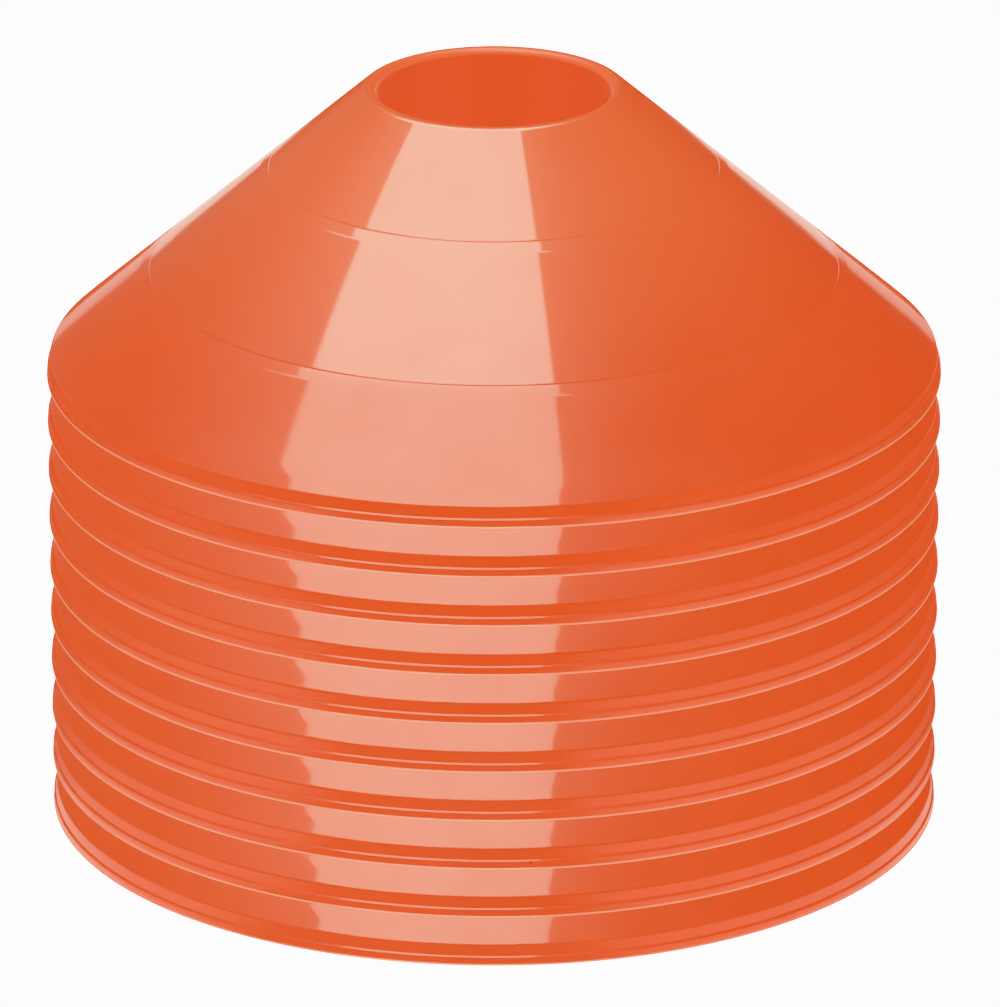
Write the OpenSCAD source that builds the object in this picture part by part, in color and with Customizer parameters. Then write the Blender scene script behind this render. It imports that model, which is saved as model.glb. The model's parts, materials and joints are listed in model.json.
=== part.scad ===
// Nested stack of low marker cones for a playing field.
// Every cone is one moulding: a truncated cone with a round hole in its crown.
// A collar hangs down inside the hole, and its flat foot seats on the crown of the cone below.

/* [Cone] */
// Outside diameter of the rim bead
rim_d = 190; // [160:1:220]
// Height of one cone, from the ground to its crown
cone_h = 63; // [54:1:72]
// Diameter of the hole through the crown
hole_d = 49.6; // [40:0.2:60]
// Thickness of the moulded wall
wall = 1.6; // [1.2:0.1:1.8]

/* [Stack] */
// Number of cones in the stack
cone_count = 10; // [2:1:12]
// Rise from one cone to the next, which is also the length of the collar
stack_pitch = 10.8; // [8:0.2:14]

/* [Crown] */
// Width of the crown's flat top outside the collar
crown_w = 0.2; // [0.1:0.1:1.2]
// Radius of the crown's outer rounding
crown_r = 2; // [2:0.1:4]
// Radius of the rounding at the mouth of the hole
mouth_r = 0.8; // [0.3:0.1:0.8]
// Radius of the small roundings on the collar's foot
foot_r = 0.2; // [0.1:0.05:0.25]

/* [Ring bands] */
// Diameter of the upper ring band, at its upper edge
upper_ring_d = 95; // [85:0.2:110]
// Diameter of the lower ring band, at its upper edge
lower_ring_d = 145.8; // [125:0.2:150]
// Width of a ring band, measured down the flank
ring_w = 3.1; // [2:0.1:5]
// Depth of a ring band below the flank
ring_depth = 0.35; // [0.2:0.05:0.5]

/* [Rim] */
// Radius of the shoulder where the flank turns down into the rim
shoulder_r = 2.2; // [2:0.1:3.5]
// Height of the plain band between the bead and the shoulder
band_h = 1.4; // [0.2:0.1:2]
// Height of the bead's straight face
bead_face_h = 1; // [0.6:0.1:2]
// How far the bead stands out from the plain band
bead_out = 0.5; // [0.3:0.1:0.8]
// Radius of the rounding along the bead's lower edge
edge_r = 0.3; // [0.2:0.05:0.5]

/* [Hidden] */
$fn = 128;

// Steps in each rounding of the outline
arc_steps = 8;
small_arc_steps = 4;

hole_r = hole_d / 2;
collar_r = hole_r + wall;
bead_r = rim_d / 2;
band_r = bead_r - bead_out;
bead_step_r = bead_out / 2;
bead_top_z = edge_r + bead_face_h + 2 * bead_step_r;
shoulder_z = bead_top_z + band_h;

// Centres of the two roundings that the flank runs between
crown_c = [collar_r + crown_w, cone_h - crown_r];
shoulder_c = [band_r - shoulder_r, shoulder_z];

// The flank is the line that touches both roundings, so its slope follows from them
run = shoulder_c - crown_c;
slope = atan2(-run[1], run[0]) + asin((crown_r - shoulder_r) / norm(run));
out = [sin(slope), cos(slope)];
down = [cos(slope), -sin(slope)];
flank_top = crown_c + crown_r * out;

// Point of the flank at a given radius
function on_flank(r) = flank_top + (r - flank_top[0]) / down[0] * down;

// Points of a rounding about a centre, from one angle to the other
function arc(centre, r, from, to, steps) =
    [for (i = [0:steps]) let (a = from + (to - from) * i / steps) centre + r * [cos(a), sin(a)]];

// A ring band: its sides slope in over their own depth
function ring_points(r) =
    let (start = on_flank(r))
    [
        start,
        start + ring_depth * (down - out),
        start + (ring_w - ring_depth) * down - ring_depth * out,
        start + ring_w * down
    ];

// Outline from the mouth of the hole over the crown and down the flank to the ground
function outer_points() = concat(
    arc([hole_r + mouth_r, cone_h - mouth_r], mouth_r, 180, 90, small_arc_steps),
    arc(crown_c, crown_r, 90, 90 - slope, arc_steps),
    ring_points(upper_ring_d / 2),
    ring_points(lower_ring_d / 2),
    arc(shoulder_c, shoulder_r, 90 - slope, 0, arc_steps),
    arc([bead_r, bead_top_z], bead_step_r, 180, 270, small_arc_steps),
    arc([bead_r - bead_step_r, edge_r + bead_face_h], bead_step_r, 90, 0, small_arc_steps),
    arc([bead_r - edge_r, edge_r], edge_r, 0, -90, small_arc_steps)
);

// Outline of the underside, one wall in from the roundings, and round the collar's foot
function inner_points() =
    let (foot_z = cone_h - stack_pitch)
    concat(
        [[band_r - wall, 0]],
        arc(shoulder_c, shoulder_r - wall, 0, 90 - slope, small_arc_steps),
        arc(crown_c, crown_r - wall, 90 - slope, 90, small_arc_steps),
        [[collar_r, cone_h - wall]],
        arc([collar_r - foot_r, foot_z + foot_r], foot_r, 0, -90, small_arc_steps),
        arc([hole_r + foot_r, foot_z + foot_r], foot_r, -90, -180, small_arc_steps)
    );

module marker_cone() {
    color([0.88, 0.34, 0.13])
    rotate_extrude()
    polygon(concat(outer_points(), inner_points()));
}

module stacked_cone(i) {
    translate([0, 0, i * stack_pitch])
    marker_cone();
}

for (i = [0:cone_count - 1])
    stacked_cone(i);
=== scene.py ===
"""Looks of a nested stack of low marker cones in glossy orange plastic.

Every cone is one closed surface, turned about the common axis from an outline of arcs and
straight stretches. It rides on its own body, so it lifts off the stack with that body.
"""

import json
import math

import bpy
import numpy as np
from bpy.props import FloatProperty, FloatVectorProperty, IntProperty, PointerProperty
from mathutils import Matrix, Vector

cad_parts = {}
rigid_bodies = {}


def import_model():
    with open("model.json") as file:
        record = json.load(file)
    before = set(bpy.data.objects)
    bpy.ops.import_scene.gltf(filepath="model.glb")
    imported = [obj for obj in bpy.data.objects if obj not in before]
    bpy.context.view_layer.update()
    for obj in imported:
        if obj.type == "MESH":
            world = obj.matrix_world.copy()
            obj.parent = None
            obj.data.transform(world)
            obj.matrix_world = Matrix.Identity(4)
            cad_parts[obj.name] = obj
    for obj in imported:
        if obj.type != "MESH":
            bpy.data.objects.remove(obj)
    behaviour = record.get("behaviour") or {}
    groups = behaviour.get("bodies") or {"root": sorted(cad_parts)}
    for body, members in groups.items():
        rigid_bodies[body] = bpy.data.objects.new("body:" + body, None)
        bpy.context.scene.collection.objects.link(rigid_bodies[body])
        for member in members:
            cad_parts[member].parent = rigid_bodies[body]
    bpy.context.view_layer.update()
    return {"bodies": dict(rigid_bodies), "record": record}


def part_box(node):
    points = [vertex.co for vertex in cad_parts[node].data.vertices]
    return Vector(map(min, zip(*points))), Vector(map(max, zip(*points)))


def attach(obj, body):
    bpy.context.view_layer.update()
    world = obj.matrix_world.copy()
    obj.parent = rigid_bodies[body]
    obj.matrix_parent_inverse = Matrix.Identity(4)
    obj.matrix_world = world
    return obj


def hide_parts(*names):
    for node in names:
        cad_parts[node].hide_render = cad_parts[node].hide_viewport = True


bl_info = {
    "name": "Marker cone stack",
    "version": (1, 0, 0),
    "blender": (4, 5, 0),
    "location": "View3D > Sidebar > Marker cones",
    "description": "Makes a nested stack of marker cones and the studio it is shown in",
    "category": "Add Mesh",
}

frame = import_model()

BODIES = sorted(frame["bodies"])
FIRST_LOW, FIRST_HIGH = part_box(BODIES[0])
HOLE_MOUNT = next(m for m in frame["record"]["mounts"] if m["name"] == "carrier_hole")
MILLIMETRE = 0.001

# The two kinds of face, numbered as their materials are
OUTER_FACE, UNDER_FACE = 0, 1
# Attributes of the mesh that the materials read: where the lower edge gets its painted highlight,
# and the share of the height that sets the crown's painted sheen and the polish
PAINTED_EDGE_LIGHT = "painted_edge_light"
CROWN_SHARE = "crown_share"

# About how far the points of a straight stretch lie apart, and how far its end ones are from the corners
SPACING = 0.003
GUARD = 0.00012
# About how far an arc turns from one point to the next, and the least number of its steps
ARC_STEP = math.radians(6)
LEAST_ARC_STEPS = 4

# Waves in the flank: how many go round the axis, their share of the height, their twist down the flank
WAVES = ((3, 0.5, 0.4), (5, 0.3, -0.8), (8, 0.14, 1.3), (13, 0.06, -2.1))

WHITE = (1.0, 1.0, 1.0, 1.0)
# The floor's own grey, so that little light comes up from it
DIM_GREY = (0.2, 0.2, 0.2, 1.0)


def length(name, description, default):
    """A property that holds a length, typed in metres."""
    return FloatProperty(name=name, description=description, default=default, min=0.0,
                         unit="LENGTH", precision=5)


def amount(name, description, default):
    """A property that holds a plain number from 0 up, such as a roughness or a radiance."""
    return FloatProperty(name=name, description=description, default=default, min=0.0)


def paint(name, description, default):
    """A property that holds a colour: red, green and blue from 0 to 1."""
    return FloatVectorProperty(name=name, description=description, default=default, min=0.0, max=1.0,
                               subtype="COLOR")


class ConeSizes(bpy.types.PropertyGroup):
    """Sizes of one cone. The outer ones come from the frame."""

    rim_radius: length("Rim radius", "Outer radius of the bead along the rim", FIRST_HIGH.x)
    height: length("Height", "From the ground to the crown", FIRST_HIGH.z - FIRST_LOW.z)
    hole_radius: length("Hole radius", "Radius of the hole through the crown",
                        HOLE_MOUNT["dims"]["r_mm"] * MILLIMETRE)
    rise: length("Rise", "Height of one cone above the next, and length of its collar",
                 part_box(BODIES[1])[0].z - FIRST_LOW.z)
    wall: length("Wall", "Thickness of the moulded wall", 0.0016)

    mouth_rounding: length("Mouth rounding", "Rounding at the mouth of the hole", 0.00155)
    crown_radius: length("Crown radius", "Radius at which the flank's line meets the crown", 0.02736)
    crown_rounding: length("Crown rounding", "Rounding from the crown into the flank", 0.002)
    foot_rounding: length("Foot rounding", "Rounding on the feet of collar and rim", 0.0002)
    lip_reach: length("Lip reach", "How far the thin lip inside the collar reaches below the foot", 0.0018)
    lip_wall: length("Lip wall", "Thickness of that lip", 0.0002)
    lip_gap: length("Lip gap", "Gap between the lip and the hole of the cone below", 0.00005)

    upper_ring: length("Upper ring", "Radius at the upper edge of the upper ring band", 0.0475)
    lower_ring: length("Lower ring", "Radius at the upper edge of the lower ring band", 0.0729)
    ring_width: length("Ring width", "Width of a ring band, down the flank", 0.0031)
    ring_depth: length("Ring depth", "Depth of a ring band at its upper edge", 0.00007)
    ring_end_depth: length("Ring end depth", "Depth of a ring band at its lower edge", 0.00001)
    ring_edge: length("Ring edge", "Width of the soft step at each side of a ring band", 0.00032)

    bend_radius: length("Bend radius", "Radius at which the flank starts to bend down", 0.0913)
    bend_height: length("Bend height", "Height of the flank there", 0.00701)
    bend_rounding: length("Bend rounding", "Radius of that long, slight bend", 0.120)
    shoulder_radius: length("Shoulder radius", "Radius at which the flank meets the plain band", 0.09422)
    shoulder_height: length("Shoulder height", "Height at which the two meet", 0.00434)
    shoulder_rounding: length("Shoulder rounding", "Rounding from the flank into the plain band", 0.0007)
    band_height: length("Band height", "Height of the plain band's lower edge", 0.0021)
    bead_height: length("Bead height", "Height of the bead's upper edge", 0.0017)
    bead_radius: length("Bead radius", "Radius at the bead's upper edge", 0.0949)
    bead_step: length("Bead step", "How far the bead stands out from the plain band", 0.0004)
    bead_swell: length("Bead swell", "How far the bead swells out at the middle of its height", 0.00004)
    tip_height: length("Tip height", "Height of the fine tip along the bead's lower edge", 0.00018)
    tip_reach: length("Tip reach", "How far that tip stands out from the bead", 0.00018)
    # The lower edge is painted lighter up to this height: a painted highlight, not light through the
    # plastic
    painted_edge_height: length("Painted edge height", "Height up to which light shines through the lower edge", 0.00045)

    wave: length("Wave", "Height of the slow waves that cooling leaves in the flank", 0.000014)
    around: IntProperty(name="Around", description="Steps round the axis", default=240, min=24)


class PlasticLook(bpy.types.PropertyGroup):
    """Colours and gloss of the plastic."""

    colour: paint("Colour", "Colour of the plastic", (0.838, 0.139, 0.054))
    deep_colour: paint("Deep colour", "Colour where the pigment gathers", (0.823, 0.129, 0.048))
    # The crown is painted paler than the flank: a painted sheen, not a thinner wall
    painted_crown_sheen: paint("Crown colour", "Paler colour of the thinner crown", (0.905, 0.202, 0.088))
    under_colour: paint("Under colour", "Colour of the satin underside", (0.80, 0.122, 0.050))
    # A pale peach painted on the lower edge: a painted highlight
    painted_edge_colour: paint("Edge colour", "Colour of the thin lower edge", (1.0, 0.41, 0.26))
    speck_colour: paint("Speck colour", "Colour of the few small specks", (0.45, 0.045, 0.01))

    outer_roughness: amount("Outer roughness", "Softness of the haze round a highlight", 0.42)
    under_roughness: amount("Under roughness", "Roughness of the satin underside", 0.38)
    skin_roughness: amount("Skin roughness", "Roughness of the polished skin", 0.055)
    rubbed_height: amount("Rubbed height", "Share of the height up to which the skin is duller", 0.36)
    rubbed_blend: amount("Rubbed blend", "Share of the height over which the polish comes back", 0.03)
    rubbed_polish: amount("Rubbed polish", "Share of the polish that is left on the duller part", 0.61)


class StudioSetup(bpy.types.PropertyGroup):
    """Camera and lights of the studio."""

    view_elevation: FloatProperty(name="View elevation", description="How far the camera looks down",
                                  default=math.radians(21.05), subtype="ANGLE")
    view_distance: length("View distance", "From the camera to the point it looks at", 2.2)
    aim_height: length("Aim height", "Height of the point that the camera looks at", 0.0662)
    lens: FloatProperty(name="Lens", description="Focal length in millimetres", default=370.7, min=50.0)
    shift: FloatProperty(name="Shift", description="Sideways shift of the picture", default=0.006)

    softbox_place: FloatVectorProperty(name="Softbox place", description="Centre of the softbox",
                                       default=(-0.2766, -0.2186, 1.3928), unit="LENGTH")
    softbox_turn: FloatVectorProperty(name="Softbox turn", description="Turn of the softbox",
                                      default=[math.radians(angle) for angle in (-28.58, 2.16, -5.05)],
                                      subtype="EULER")
    softbox_width: length("Softbox width", "Width of the softbox", 1.12)
    softbox_length: length("Softbox length", "Length of the softbox", 1.70)
    softbox_colour: paint("Softbox colour", "Colour of the softbox's light", (0.76, 1.0, 0.85))
    softbox_glow: amount("Softbox glow", "Radiance of the softbox", 7.6)

    top_fill: amount("Top fill", "Matt light from the upper half of the room", 2.85)
    low_fill: amount("Low fill", "Matt light from the lower half of the room", 2.4)
    room_light: amount("Room light", "Soft light that reaches into the gaps less", 0.04)
    wall_glow: amount("Wall glow", "Radiance of the walls behind and beside, in reflections", 0.55)
    left_wall: paint("Left wall", "Colour of the left wall, in reflections", (1.0, 0.45, 0.3))
    right_wall: paint("Right wall", "Colour of the right wall, in reflections", (1.0, 0.12, 0.05))
    floor_glow: amount("Floor glow", "Radiance of the far floor in reflections", 1.1)
    side_glow: amount("Side glow", "Radiance of the near floor at the sides, in reflections", 2.1)
    # The floor near the stack is painted dark orange in reflections: a painted shadow and bounce of the
    # stack
    painted_bounce_glow: amount("Painted bounce glow", "Radiance of the floor that the stack tints", 0.7)
    painted_bounce_colour: paint("Painted bounce colour", "Tint that the stack casts on the floor", (1.0, 0.16, 0.06))
    floor_colour: paint("Floor colour", "Colour of the floor in reflections", (1.0, 0.88, 0.77))
    floor_white: amount("Floor white", "Radiance of the floor towards the camera", 3.4)
    # Reach of that painted shadow of the stack on the floor
    painted_shadow_reach: length("Painted shadow reach", "Distance up to which the floor behind is dark in reflections", 0.62)
    floor_half: length("Floor half width", "Half the width of the floor", 6.0)


def rounding(before, corner, after, radius):
    """Arc that rounds a corner between its two neighbours: centre + radius (side sin a - middle cos a).

    Middle points from the corner to the centre, side from middle towards the first neighbour, and a
    goes evenly down from half the turn to minus half the turn.
    """
    ways = [np.subtract(end, corner) / np.linalg.norm(np.subtract(end, corner)) for end in (before, after)]
    half = math.acos(np.clip(ways[0] @ ways[1], -1.0, 1.0)) / 2
    middle = (ways[0] + ways[1]) / np.linalg.norm(ways[0] + ways[1])
    side = (ways[0] - ways[1]) / np.linalg.norm(ways[0] - ways[1])
    centre = corner + radius / math.sin(half) * middle
    turn = math.pi - 2 * half
    angle = np.linspace(turn / 2, -turn / 2, max(LEAST_ARC_STEPS, round(turn / ARC_STEP)) + 1)[:, None]
    return centre + radius * (np.sin(angle) * side - np.cos(angle) * middle)


def straight(start, end):
    """Points from start to end, end points left out: even ones, and a guard point near each end.

    The guard points keep the shading crisp at the corners. On a short stretch they lie a quarter in.
    """
    reach = np.linalg.norm(end - start)
    guard = min(GUARD / reach, 0.25)
    even = np.linspace(0.0, 1.0, max(1, int(reach / SPACING)) + 1)[1:-1]
    share = np.concatenate([[guard], even, [1.0 - guard]])
    return start + share[:, None] * (end - start)


class Outline:
    """Outline of one cone in the plane (radius, height): a closed chain of rounded corners.

    The first two corners, crown and bend, have the flank with its ring bands between them. Down is the
    way down the flank, and out is its normal.
    """

    # Steps across the soft edge of a ring band
    EDGE_STEPS = 8
    # Small roundings, as shares of the step, tip or lip that they lie on
    HOLLOW_SHARE, BEAD_SHARE, TIP_SHARE, TIP_FOOT_SHARE, LIP_SHARE = 0.4, 0.6, 0.3, 0.5, 0.4

    def __init__(self, s):
        self.sizes = s
        slope = math.atan2(s.height - s.bend_height, s.bend_radius - s.crown_radius)
        self.down = np.array([math.cos(slope), -math.sin(slope)])
        self.out = np.array([math.sin(slope), math.cos(slope)])
        outer, under = self.outer(), self.under()
        chain = outer + under
        places = [np.array(place) for place, _ in chain]
        self.arcs = [rounding(places[i - 1], places[i], places[(i + 1) % len(chain)], radius)
                     for i, (_, radius) in enumerate(chain)]
        self.kinds = [OUTER_FACE] * len(outer) + [UNDER_FACE] * len(under)
        self.flank_top = self.arcs[0][-1]
        self.flank_length = np.linalg.norm(self.arcs[1][0] - self.flank_top)

    def outer(self):
        """Corners from the crown down to the ground, each with its rounding.

        The bead's face swells in one arc, whose radius is the height of its middle.
        """
        s = self.sizes
        bead_middle = (s.bead_height + s.tip_height) / 2
        tip_radius = s.rim_radius - s.tip_reach
        return [
            ((s.crown_radius, s.height), s.crown_rounding),
            ((s.bend_radius, s.bend_height), s.bend_rounding),
            ((s.shoulder_radius, s.shoulder_height), s.shoulder_rounding),
            ((s.bead_radius - s.bead_step, s.band_height), self.HOLLOW_SHARE * s.bead_step),
            ((s.bead_radius, s.bead_height), self.BEAD_SHARE * s.bead_step),
            ((s.bead_radius + s.bead_swell, bead_middle), bead_middle),
            ((tip_radius, s.tip_height + s.tip_reach), self.TIP_SHARE * s.tip_reach),
            ((s.rim_radius, s.tip_height), self.TIP_SHARE * s.tip_height),
            ((s.rim_radius, 0.0), self.TIP_FOOT_SHARE * s.tip_height),
        ]

    def under(self):
        """Corners inside the rim, under flank and crown, and round the collar to the mouth of the hole."""
        s = self.sizes
        inner_r = s.bead_radius - s.bead_step - s.wall
        collar_r = s.hole_radius + s.wall
        foot_z = s.height - s.rise
        lip_outer = s.hole_radius - s.lip_gap
        lip_end = foot_z - s.lip_reach
        inner_top = np.array([s.crown_radius, s.height]) - s.wall * self.out
        inner_z = {r: inner_top[1] + (r - inner_top[0]) / self.down[0] * self.down[1]
                   for r in (inner_r, collar_r)}
        return [
            ((inner_r, 0.0), s.foot_rounding),
            ((inner_r, inner_z[inner_r]), s.foot_rounding),
            ((collar_r, inner_z[collar_r]), s.foot_rounding),
            ((collar_r, foot_z), s.foot_rounding),
            ((lip_outer, foot_z), s.foot_rounding),
            ((lip_outer, lip_end), self.LIP_SHARE * s.lip_wall),
            ((lip_outer - s.lip_wall, lip_end), self.LIP_SHARE * s.lip_wall),
            ((s.hole_radius, s.height), s.mouth_rounding),
        ]

    def ring_starts(self):
        """Distance down the flank to the upper edge of each ring band."""
        s = self.sizes
        return [(r - self.flank_top[0]) / self.down[0] for r in (s.upper_ring, s.lower_ring)]

    def flank(self):
        """Flank points p(t) = top + t down - depth(t) out.

        A ring band steps in, comes back evenly over its width, and steps out. In each step the depth
        follows 3 x^2 - 2 x^3, x going from 0 to 1.
        """
        s = self.sizes
        edges = [e for start in self.ring_starts() for e in (start, start + s.ring_width - s.ring_edge)]
        near = [np.linspace(e - GUARD, e + s.ring_edge + GUARD, self.EDGE_STEPS + 3) for e in edges]
        even = np.arange(SPACING, self.flank_length - GUARD, SPACING)
        clear = np.all([(even < e - 2 * GUARD) | (even > e + s.ring_edge + 2 * GUARD)
                        for e in edges], axis=0)
        t = np.sort(np.concatenate([[GUARD], even[clear], *near, [self.flank_length - GUARD]]))
        depth = np.zeros_like(t)
        for start in self.ring_starts():
            into, back = (np.clip((t - e) / s.ring_edge, 0.0, 1.0)
                          for e in (start, start + s.ring_width - s.ring_edge))
            across = np.clip((t - start) / s.ring_width, 0.0, 1.0)
            level = s.ring_depth + (s.ring_end_depth - s.ring_depth) * across
            depth += level * ((3 * into**2 - 2 * into**3) - (3 * back**2 - 2 * back**3))
        return self.flank_top + t[:, None] * self.down - depth[:, None] * self.out

    def points(self):
        """The whole closed outline, and for each stretch to the next point the face it belongs to."""
        nexts = self.arcs[1:] + self.arcs[:1]
        between = [self.flank()] + [straight(a[-1], b[0]) for a, b in zip(self.arcs[1:], nexts[1:])]
        stretches = [np.concatenate(pair) for pair in zip(self.arcs, between)]
        faces = [np.full(len(stretch), kind) for stretch, kind in zip(stretches, self.kinds)]
        return np.concatenate(stretches), np.concatenate(faces)


def waves(turn, height, azimuth, share):
    """Slow waves in the flank: a sum of cosines round the axis that fades towards crown and rim.

    height sin^2(pi share) sum(w cos(m (azimuth + turn) + 2 pi k share)) over the m, w and k of WAVES.
    """
    swell = np.zeros(np.broadcast(azimuth, share).shape)
    for m, weight, k in WAVES:
        swell += weight * np.cos(m * (azimuth + turn) + 2 * math.pi * k * share)
    return height * np.sin(math.pi * share) ** 2 * swell


def cone_surface(sizes, outline, base, turn):
    """Points of one cone: the outline (r, z) turned to (r cos a, r sin a, base + z) for a round the axis.

    Flank points first move out along the flank's normal by the waves at their azimuth. The share of
    painted highlight at the lower edge is 1 up to half of its painted height and falls evenly to 0 at
    its top. The crown's share, which sets the crown's painted sheen and the polish, is the height over
    the cone's height, and inside it rises from 0 to 1 over the lower half of the mouth's rounding.
    """
    points, faces = outline.points()
    azimuth = np.linspace(0.0, 2 * math.pi, sizes.around, endpoint=False)[:, None]
    down_flank = (points - outline.flank_top) @ outline.down / outline.flank_length
    share = np.where(faces == OUTER_FACE, np.clip(down_flank, 0.0, 1.0), 0.0)[None, :]
    swell = waves(turn, sizes.wave, azimuth, share)
    radius = points[None, :, 0] + swell * outline.out[0]
    height = points[None, :, 1] + swell * outline.out[1]
    grid = np.stack([radius * np.cos(azimuth), radius * np.sin(azimuth), base + height], axis=-1)
    mouth = 2.0 * (points[:, 1] - sizes.height) / sizes.mouth_rounding + 2.0
    crown = np.where(faces == OUTER_FACE, points[:, 1] / sizes.height, mouth)
    # Share of the painted highlight along the lower edge, and the crown's share of the height
    shares = {PAINTED_EDGE_LIGHT: np.clip(2.0 - 2.0 * points[:, 1] / sizes.painted_edge_height, 0.0, 1.0),
              CROWN_SHARE: np.clip(crown, 0.0, 1.0)}
    return grid, faces, shares


def closed_mesh(name, grid, faces, shares):
    """A mesh of a grid of points that closes on itself both ways, one square to each grid step.

    Each share becomes an attribute under its name, with one number to each outline point.
    """
    around, along = grid.shape[:2]
    index = np.arange(around * along).reshape(around, along)
    turned = np.roll(index, -1, axis=0)
    squares = np.stack([index, np.roll(index, -1, axis=1), np.roll(turned, -1, axis=1), turned], axis=-1)
    mesh = bpy.data.meshes.new(name)
    mesh.vertices.add(index.size)
    mesh.vertices.foreach_set("co", grid.astype(np.float32).ravel())
    mesh.loops.add(squares.size)
    mesh.loops.foreach_set("vertex_index", squares.astype(np.int32).ravel())
    mesh.polygons.add(index.size)
    mesh.polygons.foreach_set("loop_start", np.arange(0, squares.size, 4, dtype=np.int32))
    mesh.polygons.foreach_set("material_index", np.tile(faces, around).astype(np.int32))
    mesh.polygons.foreach_set("use_smooth", np.ones(index.size, dtype=bool))
    for title, share in shares.items():
        attribute = mesh.attributes.new(title, "FLOAT", "POINT")
        attribute.data.foreach_set("value", np.tile(share, around).astype(np.float32))
    mesh.update(calc_edges=True)
    if mesh.validate():
        raise RuntimeError(f"the surface of {name} isn't a sound mesh")
    return mesh


class Nodes:
    """A node tree with short calls to add nodes and join their sockets."""

    def __init__(self, tree):
        self.tree = tree

    def add(self, kind, settings=None, **sockets):
        """A new node. Settings are its own properties, and sockets its inputs: values or other sockets.

        An underscore in an input's name stands for a space.
        """
        node = self.tree.nodes.new(kind)
        for key, value in (settings or {}).items():
            setattr(node, key, value)
        for key, value in sockets.items():
            self.put(node.inputs[key.replace("_", " ")], value)
        return node

    def put(self, socket, value):
        """Gives a socket its value, or joins it to another node's socket."""
        if isinstance(value, bpy.types.NodeSocket):
            self.tree.links.new(value, socket)
        else:
            socket.default_value = value

    def math(self, operation, first, second=0.0):
        """The result of a Math node."""
        node = self.add("ShaderNodeMath", {"operation": operation})
        self.put(node.inputs[0], first)
        self.put(node.inputs[1], second)
        return node.outputs[0]

    def pick(self, share, first, second):
        """The mix of two numbers: the first where the share is 0, the second where it is 1 or more."""
        node = self.add("ShaderNodeMix", {"data_type": "FLOAT"})
        for socket, number in zip(node.inputs[:1] + node.inputs[2:4], (share, first, second)):
            self.put(socket, number)
        return node.outputs[0]

    def ramp(self, value, low, high, to_low=0.0, to_high=1.0):
        """The value, mapped smoothly from low..high to to_low..to_high."""
        node = self.add("ShaderNodeMapRange", {"interpolation_type": "SMOOTHSTEP"})
        for socket, number in zip(node.inputs, (value, low, high, to_low, to_high)):
            self.put(socket, number)
        return node.outputs[0]

    def blend(self, share, first, second):
        """The mix of two colours, by the same rule."""
        node = self.add("ShaderNodeMix", {"data_type": "RGBA"})
        for name, value in (("Factor_Float", share), ("A_Color", first), ("B_Color", second)):
            self.put(next(i for i in node.inputs if i.identifier == name), value)
        return next(o for o in node.outputs if o.identifier == "Result_Color")


def moulding_group(look):
    """Node group: how pigment, flow and handling vary over a moulded surface.

    It puts out a colour, a roughness, a coat weight and a height for a bump. The pigment lies in
    clouds, a few cells hold a speck, smudges dull the skin, and its lower part is rubbed duller. The
    crown is painted paler, a painted sheen, and the lower edge lighter, a painted highlight.
    """
    tree = bpy.data.node_groups.new("Moulded plastic", "ShaderNodeTree")
    for name, kind in (("Colour", "NodeSocketColor"), ("Deep colour", "NodeSocketColor"),
                       ("Speck colour", "NodeSocketColor"), ("Crown colour", "NodeSocketColor"),
                       ("Edge colour", "NodeSocketColor"), ("Roughness", "NodeSocketFloat"),
                       ("Grain", "NodeSocketFloat")):
        tree.interface.new_socket(name, in_out="INPUT", socket_type=kind)
    for name, kind in (("Colour", "NodeSocketColor"), ("Roughness", "NodeSocketFloat"),
                       ("Coat", "NodeSocketFloat"), ("Height", "NodeSocketFloat")):
        tree.interface.new_socket(name, in_out="OUTPUT", socket_type=kind)
    n = Nodes(tree)
    given = n.add("NodeGroupInput")
    place = n.add("ShaderNodeTexCoord").outputs["Object"]
    cloud = n.add("ShaderNodeTexNoise", Vector=place, Scale=34.0, Detail=3.0, Roughness=0.55)
    grain = n.add("ShaderNodeTexNoise", Vector=place, Scale=900.0, Detail=2.0, Roughness=0.5)
    smudge = n.add("ShaderNodeTexNoise", Vector=place, Scale=75.0, Detail=5.0, Roughness=0.62)
    cells = n.add("ShaderNodeTexVoronoi", Vector=place, Scale=130.0)
    chance = n.add("ShaderNodeSeparateColor", Color=cells.outputs["Color"])
    rare = n.math("GREATER_THAN", chance.outputs[0], 0.988)
    speck = n.math("MULTIPLY", rare, n.ramp(cells.outputs["Distance"], 0.05, 0.10, 1.0, 0.0))
    mottle = n.ramp(cloud.outputs[0], 0.35, 0.7)
    clear = n.blend(mottle, given.outputs["Colour"], given.outputs["Deep colour"])
    crown = n.add("ShaderNodeAttribute", {"attribute_name": CROWN_SHARE}).outputs["Fac"]
    # The crown is painted paler: a painted sheen
    sheen_painted = n.blend(n.ramp(crown, 0.1, 0.9), clear, given.outputs["Crown colour"])
    dotted = n.blend(speck, sheen_painted, given.outputs["Speck colour"])
    # The lower edge is painted lighter: a painted highlight, not light through the plastic
    edge = n.add("ShaderNodeAttribute", {"attribute_name": PAINTED_EDGE_LIGHT}).outputs["Fac"]
    colour = n.blend(edge, dotted, given.outputs["Edge colour"])
    rough = n.math("ADD", given.outputs["Roughness"], n.ramp(smudge.outputs[0], 0.3, 0.75, -0.03, 0.05))
    half_blend = look.rubbed_blend / 2
    polish = n.ramp(crown, look.rubbed_height - half_blend, look.rubbed_height + half_blend,
                    look.rubbed_polish, 1.0)
    coat = n.math("MULTIPLY", polish, n.ramp(smudge.outputs[0], 0.45, 0.8, 1.0, 0.9))
    height = n.math("MULTIPLY", grain.outputs[0], given.outputs["Grain"])
    n.add("NodeGroupOutput", Colour=colour, Roughness=rough, Coat=coat, Height=height)
    return tree


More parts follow.
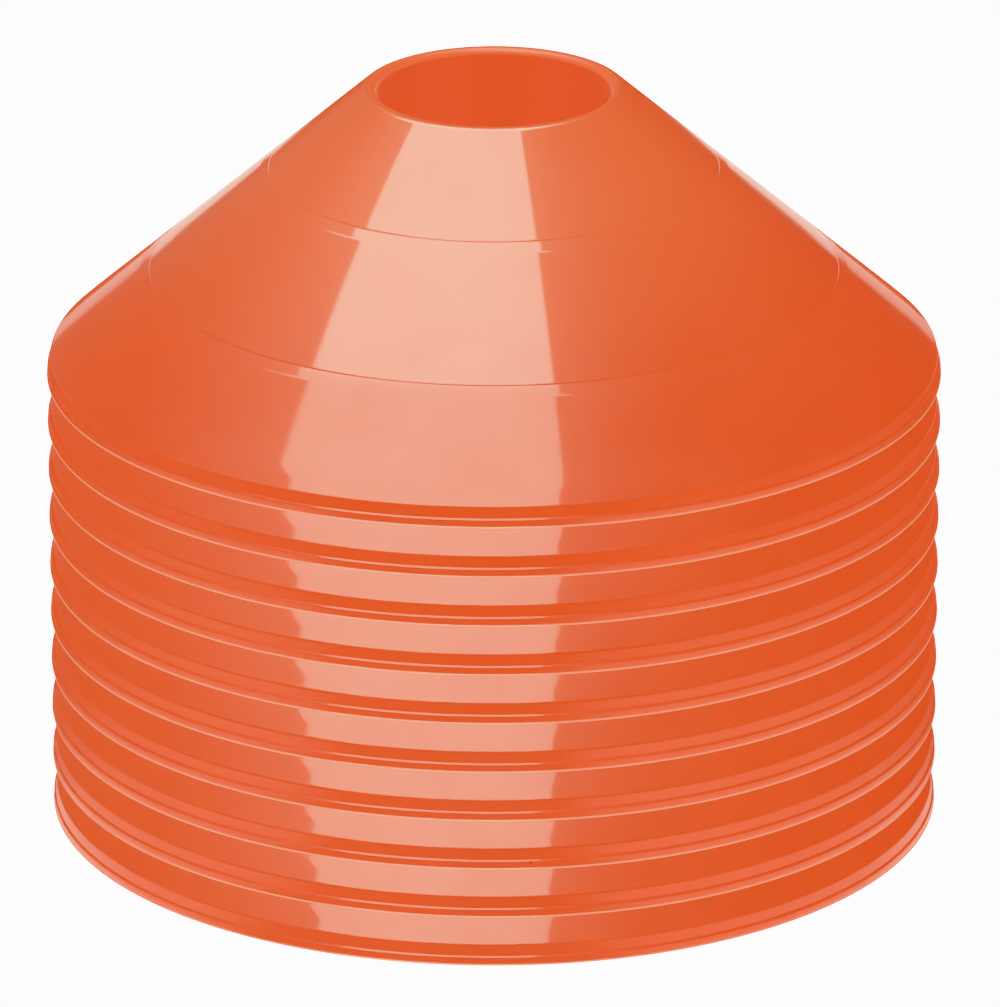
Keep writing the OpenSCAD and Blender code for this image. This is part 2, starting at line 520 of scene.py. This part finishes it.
def plastic(name, look, group, colours, roughness, skin, grain):
    """Plastic of one finish: skin is the roughness of its polished coat, or None for a satin face.

    The colours are those of the plain plastic, of gathered pigment and of the crown's painted sheen.
    The grain is the height of a fine bump.
    """
    material = bpy.data.materials.new(name)
    material.use_nodes = True
    material.node_tree.nodes.clear()
    n = Nodes(material.node_tree)
    # Here crown is the colour of the crown's painted sheen
    plain, deep, crown = ((*colour, 1.0) for colour in colours)
    surface = n.add("ShaderNodeGroup", {"node_tree": group}, Roughness=roughness, Grain=grain,
                    Colour=plain, Deep_colour=deep, Crown_colour=crown,
                    Speck_colour=(*look.speck_colour, 1.0), Edge_colour=(*look.painted_edge_colour, 1.0))
    bump = n.add("ShaderNodeBump", Strength=0.25, Distance=0.00005, Height=surface.outputs["Height"])
    shader = n.add("ShaderNodeBsdfPrincipled", Base_Color=surface.outputs["Colour"],
                   Roughness=surface.outputs["Roughness"], IOR=1.5, Specular_IOR_Level=0.30,
                   Normal=bump.outputs[0])
    if skin is not None:
        shader.inputs["Coat Roughness"].default_value = skin
        n.put(shader.inputs["Coat Weight"], surface.outputs["Coat"])
    n.add("ShaderNodeOutputMaterial", Surface=shader.outputs[0])
    return material


class MESH_OT_marker_cones(bpy.types.Operator):
    """Make the nested marker cones, each riding on its own body"""

    bl_idname = "mesh.marker_cones_add"
    bl_label = "Marker cones"
    bl_options = {"REGISTER", "UNDO"}

    # Turn of the waves from one cone to the next, so that no two cones are alike
    TURN = 2.4

    def execute(self, context):
        sizes, look = context.scene.cone_sizes, context.scene.plastic_look
        group = moulding_group(look)
        polished = plastic("Polished plastic", look, group,
                           colours=(look.colour, look.deep_colour, look.painted_crown_sheen),
                           roughness=look.outer_roughness, skin=look.skin_roughness, grain=1.0)
        satin = plastic("Satin plastic", look, group,
                        colours=(look.under_colour, look.under_colour, look.painted_crown_sheen),
                        roughness=look.under_roughness, skin=None, grain=3.0)
        outline = Outline(sizes)
        for number, body in enumerate(BODIES):
            surface = cone_surface(sizes, outline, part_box(body)[0].z, number * self.TURN)
            name = f"marker_{body}"
            cone = bpy.data.objects.new(name, closed_mesh(name, *surface))
            cone.data.materials.append(polished)
            cone.data.materials.append(satin)
            # No cone shows in the skin of another, or throws its colour on it
            cone.visible_glossy = False
            cone.visible_diffuse = False
            context.scene.collection.objects.link(cone)
            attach(cone, body)
            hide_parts(body)
        return {"FINISHED"}


def look_down_y(camera, setup):
    """Puts the camera before the stack, looking along +Y and down on the point it aims at."""
    aim = Vector((0.0, 0.0, setup.aim_height))
    back = Vector((0.0, -math.cos(setup.view_elevation), math.sin(setup.view_elevation)))
    camera.location = aim + setup.view_distance * back
    camera.rotation_euler = back.to_track_quat("Z", "Y").to_euler()


def studio_world(setup):
    """World light: even for matt surfaces, dim warm walls in reflections, white to the camera.

    The walls are nearly dark towards the camera and glow beside and behind the stack. Side goes from
    -1 at the left to 1 at the right, and back from -1 at the camera to 1 behind the stack.
    """
    world = bpy.data.worlds.new("Studio")
    world.use_nodes = True
    world.cycles.sampling_method = "NONE"
    world.node_tree.nodes.clear()
    n = Nodes(world.node_tree)
    way = n.add("ShaderNodeSeparateXYZ", Vector=n.add("ShaderNodeTexCoord").outputs["Generated"])
    side, back = way.outputs[0], way.outputs[1]
    path = n.add("ShaderNodeLightPath")
    matt = n.math("MULTIPLY", n.ramp(side, -1.0, 1.0, 1.12, 0.88), setup.room_light)
    beside = n.ramp(n.math("ABSOLUTE", side), 0.2, 0.9, 0.02, setup.wall_glow)
    walls = n.pick(n.ramp(back, 0.2, 0.9), beside, setup.wall_glow)
    tint = n.blend(n.ramp(side, -0.5, 0.2), (*setup.left_wall, 1.0), (*setup.right_wall, 1.0))
    colour = n.blend(path.outputs["Is Glossy Ray"], WHITE, tint)
    strength = n.pick(path.outputs["Is Glossy Ray"], matt, walls)
    strength = n.pick(path.outputs["Is Camera Ray"], strength, setup.floor_white)
    background = n.add("ShaderNodeBackground", Color=colour, Strength=strength)
    n.add("ShaderNodeOutputWorld", Surface=background.outputs[0])
    return world


def far_glow(n, x, y, distance, setup):
    """Glow of the floor behind the stack, in reflections.

    It lies on both sides of a dark wedge that opens away from the camera, by |x| - 0.34 y. Each side
    is a narrow inner band and a wide outer part. Near the stack the floor is dark, a painted shadow of
    the stack; in the outer part this reaches twice as far, and the glow fades over a longer way.
    """
    aside = n.math("SUBTRACT", n.math("ABSOLUTE", x), n.math("MULTIPLY", y, 0.34))
    behind = n.math("MULTIPLY", n.ramp(aside, -0.14, -0.10), n.ramp(y, 0.12, 0.2))
    outer = n.ramp(aside, -0.06, -0.035)
    # Near the stack the floor stays dark: a painted shadow of the stack
    dark = n.pick(outer, 0.5 * setup.painted_shadow_reach, setup.painted_shadow_reach)
    clear = n.math("MULTIPLY", behind, n.ramp(n.math("SUBTRACT", distance, dark), 0.0, 0.05))
    fade = n.ramp(distance, 1.0, n.pick(outer, 2.6, 5.0), setup.floor_glow, 0.3 * setup.floor_glow)
    return n.math("MULTIPLY", clear, fade)


def near_glow(n, x, y, distance, setup):
    """Glow of the floor round the stack, in reflections: x and y over the distance give the way.

    It is full beside the stack, weaker before it, fades towards the back, and ends near the stack.
    """
    east, north = n.math("DIVIDE", x, distance), n.math("DIVIDE", y, distance)
    beside = n.math("MAXIMUM", n.ramp(east, 0.2, 0.45, 0.3, 1.0), n.ramp(east, -0.5, -0.75, 0.3, 1.0))
    glow = n.math("MULTIPLY", beside, n.ramp(north, -0.95, 0.75, setup.side_glow, 0.0))
    return n.math("MULTIPLY", glow, n.ramp(distance, 0.4, 0.8, 1.0, 0.0))


def floor_material(setup):
    """Matt white floor with a glow of its own, so that it photographs as plain white.

    In reflections it has its near and far glow, and where that is weak, a painted shadow and orange bounce
    of the stack.
    """
    material = bpy.data.materials.new("Floor white")
    material.use_nodes = True
    material.cycles.emission_sampling = "NONE"
    material.node_tree.nodes.clear()
    n = Nodes(material.node_tree)
    path = n.add("ShaderNodeLightPath")
    place = n.add("ShaderNodeSeparateXYZ", Vector=n.add("ShaderNodeTexCoord").outputs["Object"])
    x, y = place.outputs[0], place.outputs[1]
    distance = n.math("SQRT", n.math("ADD", n.math("POWER", x, 2.0), n.math("POWER", y, 2.0)))
    bright = n.math("ADD", far_glow(n, x, y, distance, setup), near_glow(n, x, y, distance, setup))
    # Where the glow is weak the floor shows a painted shadow and orange bounce of the stack
    mirrored = n.pick(bright, setup.painted_bounce_glow, bright)
    tint = n.blend(bright, (*setup.painted_bounce_colour, 1.0), (*setup.floor_colour, 1.0))
    colour = n.blend(path.outputs["Is Camera Ray"], tint, WHITE)
    glow = n.pick(path.outputs["Is Camera Ray"], mirrored, setup.floor_white)
    seen = n.math("MAXIMUM", path.outputs["Is Camera Ray"], path.outputs["Is Glossy Ray"])
    matt = n.add("ShaderNodeBsdfDiffuse", Color=DIM_GREY)
    shine = n.add("ShaderNodeEmission", Color=colour, Strength=glow)
    both = n.add("ShaderNodeMixShader", Fac=seen)
    n.put(both.inputs[1], matt.outputs[0])
    n.put(both.inputs[2], shine.outputs[0])
    n.add("ShaderNodeOutputMaterial", Surface=both.outputs[0])
    return material


class SCENE_OT_cone_studio(bpy.types.Operator):
    """Make the studio: white floor, softbox, room light and camera"""

    bl_idname = "scene.cone_studio_add"
    bl_label = "Studio"
    bl_options = {"REGISTER", "UNDO"}

    # How far the floor lies below the rim
    FLOOR_DROP = 0.0002
    # Way from which the upper half's light comes, leaning towards the camera
    TOP_WAY = (0.0, -0.5, 0.866)

    def execute(self, context):
        setup = context.scene.studio_setup
        self.blockers = bpy.data.collections.new("light blockers")
        self.blockers.objects.link(self.add_floor(context, setup))
        self.add_softbox(context, setup)
        self.add_fill(context, "top fill", setup.top_fill, self.TOP_WAY)
        self.add_fill(context, "low fill", setup.low_fill, -Vector(self.TOP_WAY))
        context.scene.world = studio_world(setup)
        context.scene.view_settings.view_transform = "Khronos PBR Neutral"
        camera = bpy.data.objects.new("camera", bpy.data.cameras.new("camera"))
        camera.data.sensor_fit = "HORIZONTAL"
        camera.data.lens = setup.lens
        camera.data.shift_x = setup.shift
        camera.data.clip_end = 100.0
        look_down_y(camera, setup)
        context.scene.collection.objects.link(camera)
        context.scene.camera = camera
        return {"FINISHED"}

    def add_floor(self, context, setup):
        """A flat square floor, a hair below the rim so that the two don't share a plane."""
        corners = setup.floor_half * np.array([(-1, -1, 0), (1, -1, 0), (1, 1, 0), (-1, 1, 0)], float)
        corners[:, 2] = FIRST_LOW.z - self.FLOOR_DROP
        mesh = bpy.data.meshes.new("floor")
        mesh.from_pydata(corners.tolist(), [], [(0, 1, 2, 3)])
        mesh.materials.append(floor_material(setup))
        floor = bpy.data.objects.new("floor", mesh)
        context.scene.collection.objects.link(floor)
        floor.visible_shadow = False
        return floor

    def add_softbox(self, context, setup):
        """The overhead softbox that the polished skin mirrors. Its power is radiance times pi and area."""
        light = bpy.data.lights.new("softbox", "AREA")
        light.shape = "RECTANGLE"
        light.size, light.size_y = setup.softbox_width, setup.softbox_length
        light.energy = setup.softbox_glow * math.pi * setup.softbox_width * setup.softbox_length
        light.color = setup.softbox_colour
        softbox = self.add_light(context, light)
        softbox.location = setup.softbox_place
        softbox.rotation_euler = setup.softbox_turn
        softbox.visible_diffuse = False

    def add_fill(self, context, name, strength, way):
        """Matt light from one half of the room, which shows in no reflection."""
        light = bpy.data.lights.new(name, "SUN")
        light.energy = strength
        light.angle = math.pi
        light.cycles.use_multiple_importance_sampling = False
        fill = self.add_light(context, light)
        fill.rotation_euler = Vector(way).to_track_quat("Z", "Y").to_euler()
        fill.visible_glossy = False

    def add_light(self, context, light):
        """Puts a light in the scene. Only the floor blocks it, so no cone shades the one below."""
        lamp = bpy.data.objects.new(light.name, light)
        lamp.visible_camera = False
        lamp.light_linking.blocker_collection = self.blockers
        context.scene.collection.objects.link(lamp)
        return lamp


class VIEW3D_PT_marker_cones(bpy.types.Panel):
    """Sidebar panel with the sizes, the look and the operators"""

    bl_label = "Marker cones"
    bl_space_type = "VIEW_3D"
    bl_region_type = "UI"
    bl_category = "Marker cones"

    def draw(self, context):
        for title, group in (("Cone", context.scene.cone_sizes), ("Plastic", context.scene.plastic_look),
                             ("Studio", context.scene.studio_setup)):
            box = self.layout.box()
            box.label(text=title)
            for name in group.__annotations__:
                box.prop(group, name)
        for operator in (MESH_OT_marker_cones, SCENE_OT_cone_studio):
            self.layout.operator(operator.bl_idname)


CLASSES = (ConeSizes, PlasticLook, StudioSetup, MESH_OT_marker_cones, SCENE_OT_cone_studio,
           VIEW3D_PT_marker_cones)


def register():
    """Adds the classes, and their properties to every scene."""
    for cls in CLASSES:
        bpy.utils.register_class(cls)
    bpy.types.Scene.cone_sizes = PointerProperty(type=ConeSizes)
    bpy.types.Scene.plastic_look = PointerProperty(type=PlasticLook)
    bpy.types.Scene.studio_setup = PointerProperty(type=StudioSetup)


def unregister():
    """Takes back what register adds, in the opposite order."""
    del bpy.types.Scene.studio_setup
    del bpy.types.Scene.plastic_look
    del bpy.types.Scene.cone_sizes
    for cls in reversed(CLASSES):
        bpy.utils.unregister_class(cls)


def main():
    """Makes the cones and the studio."""
    register()
    bpy.ops.mesh.marker_cones_add()
    bpy.ops.scene.cone_studio_add()


if __name__ == "__main__":
    main()
